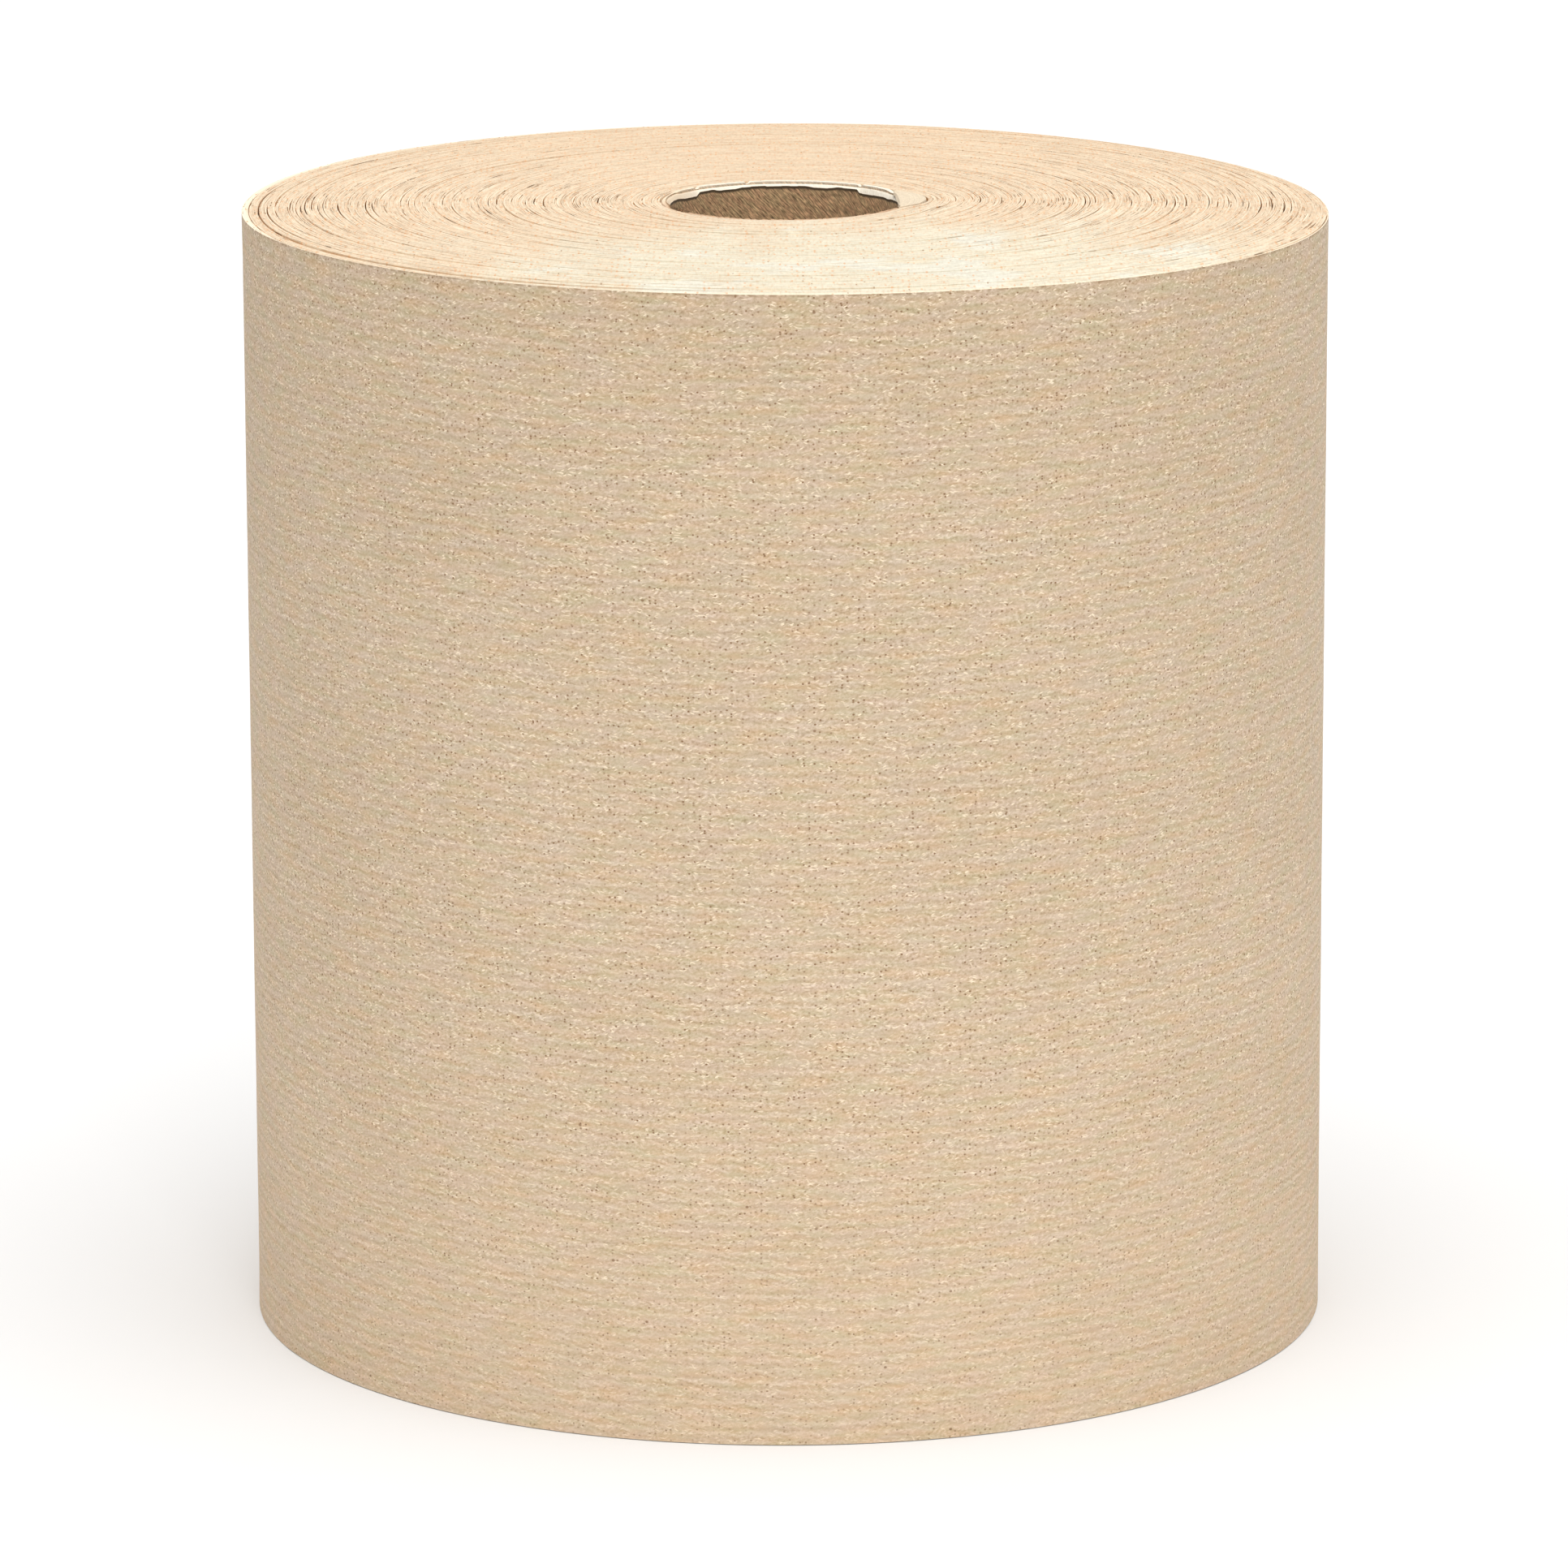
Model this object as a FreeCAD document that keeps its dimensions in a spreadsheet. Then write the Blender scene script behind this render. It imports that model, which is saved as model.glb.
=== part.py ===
import FreeCAD, Part
import math
import os
import Sketcher

# A roll of natural brown paper towel that stands on its end. Two pieces: the wound web of
# paper, and the paperboard tube that it is wound on. Millimetres, +Z up, and the origin is
# on the roll's axis in the plane that it stands on.

# Driving dimensions: alias, value, meaning
SIZES = (
    ("roll_diameter", 196.0, "outside diameter of the wound web, at its tail"),
    ("web_width", 203.2, "width of the web, which is the height of the standing roll"),
    ("core_bore", 41.5, "inside diameter of the tube"),
    ("core_wall", 1.5, "wall of the tube, two plies of board"),
    ("inner_ply", 0.7, "thickness of the tube's inner ply"),
    ("ply_step", 0.5, "how much shorter the inner ply is at each end"),
    ("core_rise", 1.0, "how far the tube's upper end stands above the web's outer turns"),
    ("core_shortfall", 0.8, "how much shorter the tube is than the web is wide"),
    ("winding_clearance", 0.1, "air between the tube and the first turn"),
    ("tail_step", 0.3, "height of the step where the web's tail ends on the outside"),
    ("tail_azimuth", 150.0, "angle of the tail about the axis, in degrees from +X"),
    ("outer_turns", 1.2, "thickness of the loose turns outside the last open gap"),
    ("first_turns", 2.5, "thickness of the tight turns between the tube and the first gap"),
    ("gap_turns", 13, "whole turns that the open gap makes on the upper end"),
    ("foot_gap_turns", 4, "the same on the end that it stands on, which is pressed tighter"),
    ("gap_width", 0.9, "width of the gap between two turns, at the web's edge"),
    ("gap_depth", 0.8, "how far the gap reaches in from the web's edge"),
)

# Sizes that several pieces or features share, written once from the driving dimensions
WEB_BORE_RADIUS = "Sizes.core_bore / 2 + Sizes.core_wall + Sizes.winding_clearance"
WEB_INNER_ARC_RADIUS = "Sizes.roll_diameter / 2 - Sizes.tail_step"
OUTERMOST_GAP_RADIUS = WEB_INNER_ARC_RADIUS + " - Sizes.outer_turns"
GAP_SPAN = "(%s - (%s) - Sizes.first_turns)" % (OUTERMOST_GAP_RADIUS, WEB_BORE_RADIUS)
CORE_HALF_LENGTH = "((Sizes.web_width - Sizes.core_shortfall) / 2)"
CORE_MID_HEIGHT = "Sizes.web_width + Sizes.core_rise - " + CORE_HALF_LENGTH

START = 1
END = 2
CENTRE = 3
ORIGIN = (-1, 1)
X_AXIS = -1

doc = FreeCAD.newDocument("PaperTowelRoll")


def make_sheet():
    sheet = doc.addObject("Spreadsheet::Sheet", "Sizes")
    for row, (alias, value, meaning) in enumerate(SIZES, start=1):
        sheet.set("A%d" % row, alias)
        sheet.set("B%d" % row, str(value))
        sheet.set("C%d" % row, meaning)
        sheet.setAlias("B%d" % row, alias)
    doc.recompute()


def make_body(label, mid_height):
    """A body whose own origin is at the middle of its height, so that its ends match."""
    body = doc.addObject("PartDesign::Body", label)
    body.Label = label
    body.setExpression("Placement.Base.z", mid_height)
    return body


def origin_plane(body, role):
    return next(item for item in body.Origin.OriginFeatures if item.Role == role)


def make_sketch(body, name, role):
    sketch = body.newObject("Sketcher::SketchObject", name)
    sketch.AttachmentSupport = [(origin_plane(body, role), "")]
    sketch.MapMode = "FlatFace"
    return sketch


def dimension(sketch, kind, references, expression):
    """Adds one dimensional constraint and binds its value to an expression on the sheet."""
    value = float(sketch.evalExpression(expression))
    index = sketch.addConstraint(Sketcher.Constraint(kind, *references, value))
    sketch.setExpression("Constraints[%d]" % index, expression)


def circle_about_origin(sketch, radius):
    guess = float(sketch.evalExpression(radius))
    up = FreeCAD.Vector(0, 0, 1)
    circle = sketch.addGeometry(Part.Circle(FreeCAD.Vector(), up, guess), False)
    sketch.addConstraint(Sketcher.Constraint("Coincident", circle, CENTRE, *ORIGIN))
    dimension(sketch, "Radius", (circle,), radius)


def pad_both_ways(body, sketch, name, half_length):
    pad = body.newObject("PartDesign::Pad", name)
    pad.Profile = sketch
    pad.SideType = "Symmetric"
    pad.setExpression("Length", "2 * " + half_length)
    doc.recompute()


def add_notch(sketch, left, top, width, depth, square):
    """One closed notch below the line y = top: a V, or a square step where square is set."""
    x0 = float(sketch.evalExpression(left))
    y0 = float(sketch.evalExpression(top))
    wide = float(sketch.evalExpression(width))
    deep = float(sketch.evalExpression(depth))
    if square:
        corners = [(x0, y0), (x0, y0 - deep), (x0 + wide, y0 - deep), (x0 + wide, y0)]
    else:
        corners = [(x0, y0), (x0 + wide / 2, y0 - deep), (x0 + wide, y0)]
    count = len(corners)
    lines = []
    for index, corner in enumerate(corners):
        following = corners[(index + 1) % count]
        segment = Part.LineSegment(FreeCAD.Vector(*corner, 0), FreeCAD.Vector(*following, 0))
        lines.append(sketch.addGeometry(segment, False))
    for index, line in enumerate(lines):
        following = lines[(index + 1) % count]
        sketch.addConstraint(Sketcher.Constraint("Coincident", line, END, following, START))
    sketch.addConstraint(Sketcher.Constraint("Horizontal", lines[-1]))
    dimension(sketch, "DistanceX", (*ORIGIN, lines[0], START), left)
    dimension(sketch, "DistanceY", (*ORIGIN, lines[0], START), top)
    dimension(sketch, "DistanceX", (lines[0], START, lines[-1], START), width)
    dimension(sketch, "DistanceY", (lines[0], END, lines[0], START), depth)
    if square:
        sketch.addConstraint(Sketcher.Constraint("Vertical", lines[0]))
        sketch.addConstraint(Sketcher.Constraint("Vertical", lines[2]))
    else:
        dimension(sketch, "DistanceX", (lines[0], START, lines[0], END), width + " / 2")


def revolve_cut(body, sketch, name, angle, backwards):
    """Turns the sketch about its own vertical axis and cuts, and checks that it did cut."""
    before = body.Tip.Shape.Volume
    groove = body.newObject("PartDesign::Groove", name)
    groove.Profile = sketch
    groove.ReferenceAxis = (sketch, ["V_Axis"])
    groove.Angle = angle
    groove.Reversed = backwards
    doc.recompute()
    if groove.Shape.Volume >= before:
        raise RuntimeError(name + " cuts nothing")
    return groove


def draw_web_outline(sketch):
    """The section of the web: two half-turns about two centres, which leave the tail's step
    on the +X side, around the round hole that the tube fills."""
    radius = float(sketch.evalExpression(WEB_INNER_ARC_RADIUS))
    step = float(sketch.evalExpression("Sizes.tail_step"))
    up = FreeCAD.Vector(0, 0, 1)
    first_circle = Part.Circle(FreeCAD.Vector(), up, radius)
    last_circle = Part.Circle(FreeCAD.Vector(step / 2, 0, 0), up, radius + step / 2)
    first_half = sketch.addGeometry(Part.ArcOfCircle(first_circle, 0, math.pi), False)
    last_half = sketch.addGeometry(Part.ArcOfCircle(last_circle, math.pi, 2 * math.pi), False)
    tail_start = FreeCAD.Vector(radius + step, 0, 0)
    tail_end = FreeCAD.Vector(radius, 0, 0)
    tail = sketch.addGeometry(Part.LineSegment(tail_start, tail_end), False)
    sketch.addConstraint(Sketcher.Constraint("Coincident", first_half, CENTRE, *ORIGIN))
    sketch.addConstraint(Sketcher.Constraint("PointOnObject", first_half, START, X_AXIS))
    sketch.addConstraint(Sketcher.Constraint("PointOnObject", first_half, END, X_AXIS))
    sketch.addConstraint(Sketcher.Constraint("Coincident", first_half, END, last_half, START))
    sketch.addConstraint(Sketcher.Constraint("PointOnObject", last_half, CENTRE, X_AXIS))
    sketch.addConstraint(Sketcher.Constraint("PointOnObject", last_half, END, X_AXIS))
    sketch.addConstraint(Sketcher.Constraint("Coincident", last_half, END, tail, START))
    sketch.addConstraint(Sketcher.Constraint("Coincident", tail, END, first_half, START))
    dimension(sketch, "Radius", (first_half,), WEB_INNER_ARC_RADIUS)
    dimension(sketch, "DistanceX", (*ORIGIN, last_half, CENTRE), "Sizes.tail_step / 2")
    circle_about_origin(sketch, WEB_BORE_RADIUS)


def draw_gaps(sketch, count, outermost, pitch):
    """The V notches of one family of half-turns, one pitch apart, from the rim inwards."""
    for turn in range(count):
        left = "%s - %d * %s - Sizes.gap_width / 2" % (outermost, turn, pitch)
        add_notch(sketch, left, "Sizes.web_width / 2", "Sizes.gap_width", "Sizes.gap_depth", False)


def cut_spiral_gap(body, end, turns, turned_over):
    """The open gap between turns, as one continuous spiral on one end of the web. Half-turns
    about the axis alternate with half-turns about a centre half a pitch to the side, so each
    one runs on into the next and gains a pitch in a full turn."""
    whole_turns = "trunc(Sizes.%s)" % turns
    pitch = "(%s / %s)" % (GAP_SPAN, whole_turns)
    flip = FreeCAD.Rotation(FreeCAD.Vector(1, 0, 0), 180 if turned_over else 0)

    about_axis = make_sketch(body, end + "NotchesAboutAxis", "XZ_Plane")
    about_axis.AttachmentOffset = FreeCAD.Placement(FreeCAD.Vector(), flip)
    count = int(about_axis.evalExpression(whole_turns)) + 1
    draw_gaps(about_axis, count, OUTERMOST_GAP_RADIUS, pitch)
    revolve_cut(body, about_axis, end + "GapsAboutAxis", 180, turned_over)

    about_side = make_sketch(body, end + "NotchesAboutSide", "XZ_Plane")
    about_side.AttachmentOffset = FreeCAD.Placement(FreeCAD.Vector(), flip)
    about_side.setExpression("AttachmentOffset.Base.x", pitch + " / 2")
    draw_gaps(about_side, count - 1, "%s - %s / 2" % (OUTERMOST_GAP_RADIUS, pitch), pitch)
    revolve_cut(body, about_side, end + "GapsAboutSide", 180, not turned_over)


def make_towel_roll():
    """The wound web, one solid, with its turns showing as a spiral gap on each end."""
    body = make_body("towel_roll", "Sizes.web_width / 2")
    body.setExpression("Placement.Rotation.Angle", "Sizes.tail_azimuth")
    outline = make_sketch(body, "WebOutline", "XY_Plane")
    draw_web_outline(outline)
    pad_both_ways(body, outline, "WoundWeb", "Sizes.web_width / 2")
    cut_spiral_gap(body, "Upper", "gap_turns", False)
    cut_spiral_gap(body, "Foot", "foot_gap_turns", True)
    return body


def make_core_tube():
    """The tube that the web is wound on, with its inner ply cut a little short at each end.
    It stands a little above the outer turns, which have slipped down as the roll stands."""
    body = make_body("core_tube", CORE_MID_HEIGHT)
    ring = make_sketch(body, "TubeSection", "XY_Plane")
    circle_about_origin(ring, "Sizes.core_bore / 2 + Sizes.core_wall")
    circle_about_origin(ring, "Sizes.core_bore / 2")
    pad_both_ways(body, ring, "Tube", CORE_HALF_LENGTH)

    step = make_sketch(body, "PlyStepProfile", "XZ_Plane")
    add_notch(step, "Sizes.core_bore / 2", CORE_HALF_LENGTH, "Sizes.inner_ply", "Sizes.ply_step", True)
    ply_step = revolve_cut(body, step, "PlyStep", 360, False)
    mirror = body.newObject("PartDesign::Mirrored", "PlyStepAtOtherEnd")
    mirror.Originals = [ply_step]
    mirror.MirrorPlane = (origin_plane(body, "XY_Plane"), [""])
    body.Tip = mirror
    doc.recompute()
    return body


def check_model(bodies):
    for item in doc.Objects:
        if "Invalid" in item.State or "Error" in item.State:
            raise RuntimeError("%s failed: %s" % (item.Name, item.State))
    for body in bodies:
        if body.Shape.isNull() or not body.Shape.isValid():
            raise RuntimeError(body.Label + " has no valid shape")
        if len(body.Shape.Solids) != 1:
            raise RuntimeError(body.Label + " is not one solid")


def export(bodies):
    os.makedirs("parts", exist_ok=True)
    for body in bodies:
        body.Shape.exportStep("parts/%s.step" % body.Label)
        box = body.Shape.BoundBox
        size = (body.Label, box.XLength, box.YLength, box.ZLength, body.Shape.Volume / 1000)
        print("%s: %.2f x %.2f x %.2f mm, %.1f ml" % size)


make_sheet()
pieces = [make_towel_roll(), make_core_tube()]
doc.recompute()
check_model(pieces)
export(pieces)
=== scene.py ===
"""A roll of brown crepe paper towel, standing on its end."""

import math

import bpy
import numpy as np
from mathutils import Matrix, Vector


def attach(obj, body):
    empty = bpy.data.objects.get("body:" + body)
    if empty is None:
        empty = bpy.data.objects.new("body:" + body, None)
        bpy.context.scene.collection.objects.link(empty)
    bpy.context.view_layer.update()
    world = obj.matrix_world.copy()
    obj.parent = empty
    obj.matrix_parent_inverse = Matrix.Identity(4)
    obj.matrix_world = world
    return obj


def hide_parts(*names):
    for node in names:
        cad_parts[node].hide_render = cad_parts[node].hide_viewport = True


MM = 0.001
FULL_TURN = 2 * math.pi

# Lengths are in millimetres. The roll's axis is Z and it stands on z = 0.
WEB_WIDTH = 203.2
RIM_RADIUS = 98.0
TAIL_STEP = 0.3
TAIL_AZIMUTH = math.radians(150)
WEB_BORE = 22.35
CORE_OUTER = 22.25
CORE_BORE = 20.75
INNER_PLY = 0.7
PLY_STEP = 0.5
CORE_TOP = 204.2
CORE_FOOT = 1.8
RIM_BEVEL = 0.12

# The inner turns have risen a little out of the outer ones, and the rim is rounded off
# where it has been knocked.
RISE = 0.96
RISE_SPAN = 8.0
KNOCK_AZIMUTH = math.radians(4)
KNOCK_HALF_ANGLE = math.radians(76)
KNOCK = 1.2
KNOCK_SPAN = 4.5

# The outer turns stand a little higher on the other side of the roll.
LIFT_AZIMUTH = math.radians(238)
LIFT_HALF_ANGLE = math.radians(66)
LIFT = 0.36
LIFT_SPAN = 10.0

# Where the first turns rise over the folded start of the web, and how far from the axis the
# fold's flat face lies.
FOLD_AZIMUTH = math.radians(3)
FOLD_HALF_ANGLE = math.radians(27)
FOLD_HEIGHT = 3.5
FOLD_FADE = 8.5
FOLD_FACE = 20.15

# How many turns each end shows, how wide the last of them is, and the seed of its noise.
UPPER_END = {"turns": 53, "last_layer": 1.25, "seed": 101}
FOOT_END = {"turns": 24, "last_layer": 0.9, "seed": 202}

# The least drop of a turn's lip, the most of a turn's width that a gap's slope may take, and
# how deep the first turn is drawn down beside the core.
LIP_DROP = 0.02
SLOPE_SHARE = 0.3
BORE_DEPTH = 2.5

# Points of the meshes: round the roll and up its side, round the core, and in the fold.
COLUMNS = 420
SIDE_ROWS = 133
CORE_COLUMNS = 720
FOLD_COLUMNS = 121
FOLD_LAYERS = 15

# Smooth noise


def eased_cells(x):
    """The whole number at or below x, and the eased share of the way from it to the next."""
    cell = np.floor(x).astype(int)
    share = x - cell
    return cell, share * share * (3 - 2 * share)


def mixed(a, b, share):
    return a * (1 - share) + b * share


def smooth_noise(x, seed):
    """Noise of one variable, between -1 and 1, that changes over about one unit."""
    size = 4096
    table = np.random.default_rng(seed).uniform(-1, 1, size)
    cell, share = eased_cells(x)
    return mixed(table[cell % size], table[(cell + 1) % size], share)


def noise_2d(x, y, seed):
    """Noise of two variables, between -1 and 1, that changes over about one unit."""
    size = 256
    table = np.random.default_rng(seed).uniform(-1, 1, (size, size))
    cx, fx = eased_cells(x)
    cy, fy = eased_cells(y)
    low = mixed(table[cx % size, cy % size], table[(cx + 1) % size, cy % size], fx)
    high = mixed(table[cx % size, (cy + 1) % size], table[(cx + 1) % size, (cy + 1) % size], fx)
    return mixed(low, high, fy)


def smooth_step(x):
    """0 up to x = 0 and 1 from x = 1 on, with an eased rise between them."""
    x = np.clip(x, 0, 1)
    return x * x * (3 - 2 * x)


# Outlines


def rim_radius(turn):
    """Radius of the roll's outline, for a turn from 0 at the tail's foot to 1 at its edge."""
    turn = np.asarray(turn, float)
    angle = FULL_TURN * turn
    offset = TAIL_STEP / 2
    arc = RIM_RADIUS - offset
    second = offset * np.cos(angle) + np.sqrt(arc**2 - (offset * np.sin(angle)) ** 2)
    return np.where(turn <= 0.5, RIM_RADIUS - TAIL_STEP, second)


def azimuth(t):
    return TAIL_AZIMUTH + FULL_TURN * np.asarray(t, float)


def hump(angle, middle, half_angle, power=1.5):
    """A smooth hump over the angle: 1 at its middle, 0 beyond the half angle."""
    off = (angle - middle + math.pi) % FULL_TURN - math.pi
    return np.clip(1 - (off / half_angle) ** 2, 0, 1) ** power


def fold_rise(t, radius):
    """How far a turn is pushed outward by the folded start of the web."""
    pushed = FOLD_HEIGHT * hump(azimuth(t), FOLD_AZIMUTH, FOLD_HALF_ANGLE, 1.3)
    return pushed * np.exp(-(radius - WEB_BORE) / FOLD_FADE)


def end_level(radius, angle, upper):
    """Height of the turns' edges above the rim's plane, on the upper or the foot end."""
    inside = np.clip(RIM_RADIUS - radius, 0, None)
    level = RISE * (1 - np.exp(-inside / RISE_SPAN))
    if upper:
        knocked = hump(angle, KNOCK_AZIMUTH, KNOCK_HALF_ANGLE)
        lifted = hump(angle, LIFT_AZIMUTH, LIFT_HALF_ANGLE)
        level = level - KNOCK * knocked * np.exp(-inside / KNOCK_SPAN)
        level = level + LIFT * lifted * np.exp(-inside / LIFT_SPAN)
    return level


def turn_radii(turns, last_layer, seed):
    """A function of t for the radius of the gap line, which gains a turn for each unit of t."""
    steps = np.random.default_rng(seed).uniform(0.55, 1.5, turns - 1)
    steps *= (RIM_RADIUS - TAIL_STEP - last_layer - WEB_BORE) / steps.sum()
    knots = WEB_BORE + np.concatenate([[0], np.cumsum(steps)])
    thinnest = steps.min()

    def radius(t):
        t = np.asarray(t, float)
        inner = np.interp(t, np.arange(turns), knots)
        wobble = 0.16 * thinnest * smooth_noise(t * 7.3, seed + 1)
        wobble = wobble + 0.1 * thinnest * smooth_noise(t * 17.7, seed + 2)
        inner = inner + wobble * smooth_step(t / 0.3) * smooth_step((turns - 1 - t) / 0.3)
        inner = inner + fold_rise(t, inner)
        turn = np.clip(t - (turns - 1), 0, 1)
        slack = last_layer + (TAIL_STEP - last_layer) * smooth_step((turn - 0.1) / 0.34)
        return np.where(t <= turns - 1, inner, rim_radius(turn) - slack)

    return radius


# Mesh making


def mesh_object(name, points, faces, attributes, uv, sharp):
    """A mesh from points in millimetres, each with a place in the UV map and named vectors."""
    mesh = bpy.data.meshes.new(name)
    points = np.asarray(points, float)
    faces = np.asarray(faces, int)
    mesh.vertices.add(len(points))
    mesh.vertices.foreach_set("co", (points * MM).ravel())
    mesh.loops.add(faces.size)
    mesh.loops.foreach_set("vertex_index", faces.ravel())
    mesh.polygons.add(len(faces))
    mesh.polygons.foreach_set("loop_start", np.arange(0, faces.size, 4))
    mesh.update(calc_edges=True)
    for key, values in attributes.items():
        layer = mesh.attributes.new(key, "FLOAT_VECTOR", "POINT")
        layer.data.foreach_set("vector", np.asarray(values, float).ravel())
    layer = mesh.uv_layers.new(name="OFBake")
    layer.data.foreach_set("uv", np.asarray(uv, float)[faces.ravel()].ravel())
    mesh.validate()
    mesh.shade_smooth()
    mesh.set_sharp_from_angle(angle=math.radians(sharp))
    piece = bpy.data.objects.new(name, mesh)
    bpy.context.scene.collection.objects.link(piece)
    return piece


def grid_faces(rows, columns, wrap=False, flip=False):
    """Quads of a grid of rows x columns points. wrap joins the last column to the first one."""
    index = np.arange(rows * columns).reshape(rows, columns)
    if wrap:
        index = np.concatenate([index, index[:, :1]], axis=1)
    corners = [index[:-1, :-1], index[:-1, 1:], index[1:, 1:], index[1:, :-1]]
    quads = np.stack(corners, axis=-1).reshape(-1, 4)
    return quads[:, ::-1] if flip else quads


def per_point(*values):
    """Grids of values, one row of them for each point."""
    values = np.broadcast_arrays(*values)
    return np.stack(values, axis=-1).reshape(-1, len(values))


def polar(radius, angle, z):
    return per_point(radius * np.cos(angle), radius * np.sin(angle), z)


def in_map(share):
    """A share of the UV map's width, kept a little inside its edges."""
    return share * 0.98 + 0.01


def own(piece, node, material):
    """Makes the piece stand for a CAD node, in the given material."""
    piece.data.materials.append(material)
    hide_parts(node)
    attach(piece, "root")
    return piece


# The wound web


class TurnEdges:
    """The form of the turns' edges on one end of the web, at each place s of the ribbon."""

    def __init__(self, turns, seed, upper):
        self.turns = turns
        self.seed = seed
        self.upper = upper

    def noise(self, s, number):
        return smooth_noise(s, self.seed + number)

    def openness(self, s):
        """How open the gap inside a turn is, from 0 to 1: the most at the left and right."""
        level = 0.9 * self.noise(s * 57.3 + 11, 3) + 0.6 * self.noise(s * 15.1, 4)
        level = level + 0.4 * self.noise(s * 1.3, 5)
        across = 0.16 + 0.84 * np.abs(np.cos(azimuth(s))) ** 1.2
        return smooth_step((level + 0.05) / 0.5) * across

    def looseness(self, s):
        """How far the last two turns have come away from the ones under them."""
        last = s - (self.turns - 1)
        before = s - (self.turns - 2)
        last_gap = smooth_step((last - 0.01) / 0.09) * smooth_step((0.5 - last) / 0.36)
        gap_before = smooth_step((before - 0.02) / 0.05) * smooth_step((0.36 - before) / 0.1)
        return 0.35 * last_gap + 0.85 * gap_before

    def slump(self, s):
        """How far those turns have slipped down on the upper end, from the left to the front."""
        if not self.upper:
            return 0.0
        turn = np.where(s >= self.turns - 1, s - (self.turns - 1), s - (self.turns - 2))
        slipped = 0.34 * smooth_step((turn - 0.06) / 0.1) * smooth_step((0.36 - turn) / 0.1)
        return slipped * (s >= self.turns - 2)

    def gap_width(self, s):
        width = 0.02 + self.openness(s) * (0.23 + 0.1 * self.noise(s * 11.7, 6))
        return width + 0.3 * self.looseness(s)

    def gap_depth(self, s):
        depth = 0.05 + self.openness(s) * (1.2 + 0.4 * self.noise(s * 3.3, 7))
        return depth + 1.4 * self.looseness(s)

    def drop(self, s):
        """How far a turn's edge lies below the highest ones."""
        across = 0.25 + 0.45 * smooth_step(0.5 - np.sin(azimuth(s)))
        across = across + 0.4 * np.abs(np.cos(azimuth(s))) ** 2
        level = 0.15 + 0.14 * self.noise(s * 2.7, 8) + 0.06 * self.noise(s * 23.3, 9)
        return np.clip(level, 0.0, 0.4) * across

    def lip_drop(self, s, outward):
        """The same for a turn's outward or inward lip, as the edge may be tipped either way."""
        slope = 0.05 * self.noise(s * 5.9, 10)
        tipped = np.maximum(-slope if outward else slope, 0)
        return self.drop(s) + self.slump(s) + LIP_DROP + tipped

    def bottom(self, s):
        """The depth of the gap inside a turn, and of the lower lip of the two beside it."""
        lips = np.maximum(self.lip_drop(s, False), self.lip_drop(s - 1, True))
        return np.maximum(self.gap_depth(s), lips + LIP_DROP), lips


def make_end(name, turns, last_layer, seed, upper, material):
    """One end of the web: the edges of its turns, as one long ribbon, wound round and round."""
    radius = turn_radii(turns, last_layer, seed)
    edges = TurnEdges(turns, seed, upper)
    columns = (turns + 1) * COLUMNS + 1
    t = np.linspace(-1, turns, columns)
    is_rim = t >= turns - 1
    rim = rim_radius(np.clip(t - (turns - 1), 0, 1))
    inner = np.where(t < 0, WEB_BORE + fold_rise(t, WEB_BORE), radius(np.clip(t, 0, None)))
    outer = np.where(t <= turns - 1, radius(np.clip(t + 1, 0, turns)), rim)
    outer = np.maximum(outer, inner)
    width = outer - inner

    most = width * SLOPE_SHARE
    wide_in = np.minimum(edges.gap_width(t) / 2, most)
    wide_out = np.where(is_rim, 0, np.minimum(edges.gap_width(t + 1) / 2, most))
    bevel = np.where(is_rim, np.minimum(RIM_BEVEL, most), 0)
    lip_in = edges.lip_drop(t, False)
    lip_out = np.where(is_rim, LIP_DROP + edges.slump(t) * 0.5, edges.lip_drop(t, True))
    middle = np.where(is_rim, edges.drop(t) * 0.5, edges.drop(t)) + edges.slump(t)
    deep_in, lips_in = edges.bottom(t)
    deep_out, lips_out = edges.bottom(t + 1)
    deep_in = np.where(t >= 0, deep_in, BORE_DEPTH)
    deep_out = np.where(is_rim, RIM_BEVEL, deep_out)

    # Five rows across the ribbon: a gap's bottom, a lip, the middle, a lip, a gap's bottom.
    lip_radius = outer - wide_out - bevel
    radii = np.stack([inner, inner + wide_in, (inner + outer) / 2, lip_radius, outer])
    drops = np.stack([deep_in, lip_in, middle, lip_out, deep_out])
    level = end_level(radii, azimuth(t), upper)
    height = WEB_WIDTH + level - drops if upper else level + drops
    points = polar(radii, azimuth(t), height)

    # strip: the length along the ribbon, the place across it, the depth below the lips.
    stretch = np.diff(t) * FULL_TURN * (inner[1:] + inner[:-1]) / 2
    length = np.concatenate([[0], np.cumsum(stretch)])
    flat = np.zeros_like(t)
    outer_depth = np.where(is_rim, 0, deep_out - lips_out)
    below = np.stack([deep_in - lips_in, flat, flat, flat, outer_depth])
    strip = per_point(length, radii - inner, below)

    # edge: 1 at a lip and in a gap, how open the gap beside it is, the distance from the rim.
    at_lip = np.array([1.0, 1.0, 0.0, 1.0, 1.0])[:, None]
    beside = np.stack([edges.openness(t)] * 3 + [edges.openness(t + 1)] * 2)
    edge = per_point(at_lip, beside, rim_radius(t % 1) - radii)

    uv = 0.5 + points[:, :2] / (2 * RIM_RADIUS) * 0.98
    faces = grid_faces(len(radii), columns, flip=not upper)[:, ::-1]
    piece = mesh_object(name, points, faces, {"strip": strip, "edge": edge}, uv, 24)
    return own(piece, "towel_roll", material)


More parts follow.
